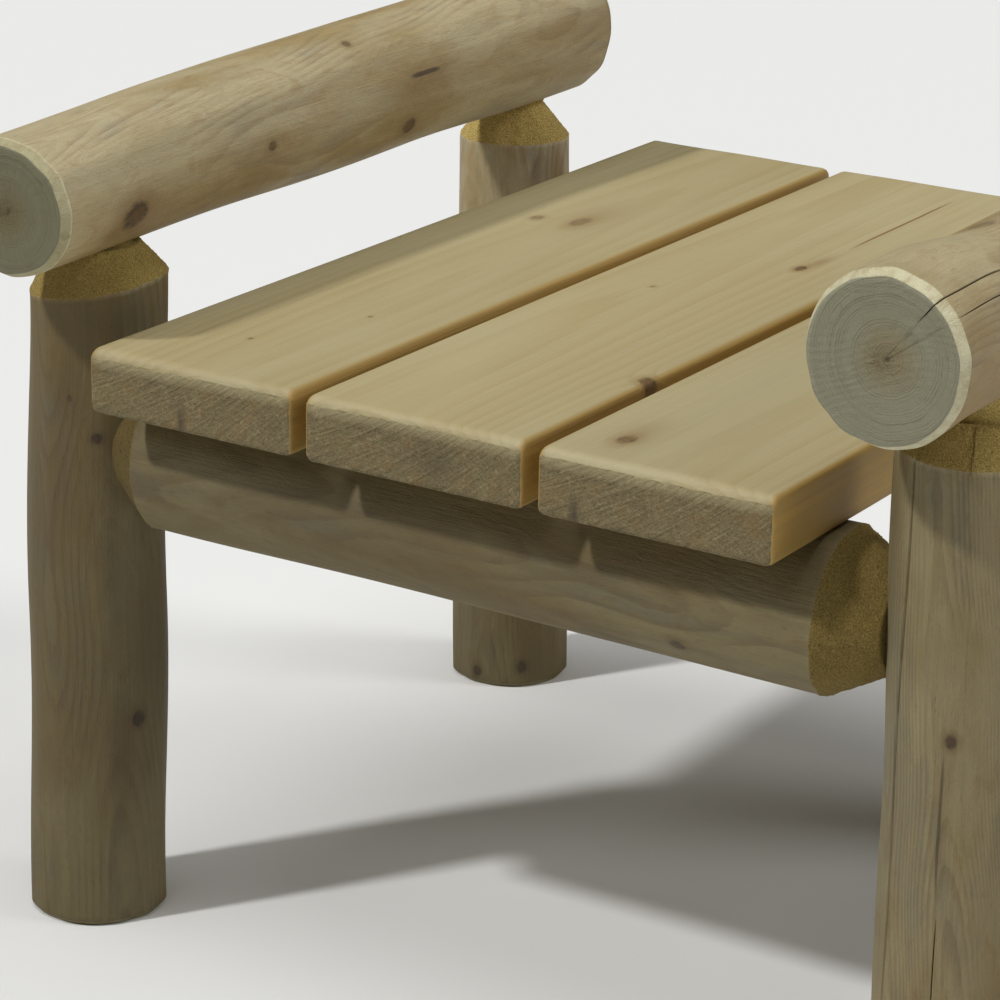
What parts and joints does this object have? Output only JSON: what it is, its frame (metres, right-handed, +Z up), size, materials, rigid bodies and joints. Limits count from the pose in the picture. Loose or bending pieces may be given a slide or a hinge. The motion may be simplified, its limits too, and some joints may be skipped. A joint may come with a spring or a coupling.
{
  "type": "garden bench",
  "caption": "Backless garden bench of peeled round logs, with low log arms on mortised posts and a seat of thick sawn boards.",
  "frame": {"origin": "on the ground, under the middle of the bench", "axes": "+X to the right seen from the front, +Y to the back, +Z up"},
  "size_m": [0.651, 0.64, 0.52],
  "materials": {
    "peeled_log": "peeled cedar log, dry and unfinished",
    "sawn_board": "planed cedar board, dry and unfinished",
    "screw_steel": "zinc plated steel"
  },
  "bodies": {
    "root": {"leg_front_left": "peeled_log", "leg_front_right": "peeled_log", "leg_back_left": "peeled_log", "leg_back_right": "peeled_log", "arm_log_left": "peeled_log", "arm_log_right": "peeled_log", "seat_rail_front": "peeled_log", "seat_rail_back": "peeled_log", "seat_board_left": "sawn_board", "seat_board_middle": "sawn_board", "seat_board_right": "sawn_board", "seat_screws_front": "screw_steel", "seat_screws_back": "screw_steel", "rail_lock_screws": "screw_steel", "arm_lock_screws": "screw_steel"}
  },
  "joints": []
}
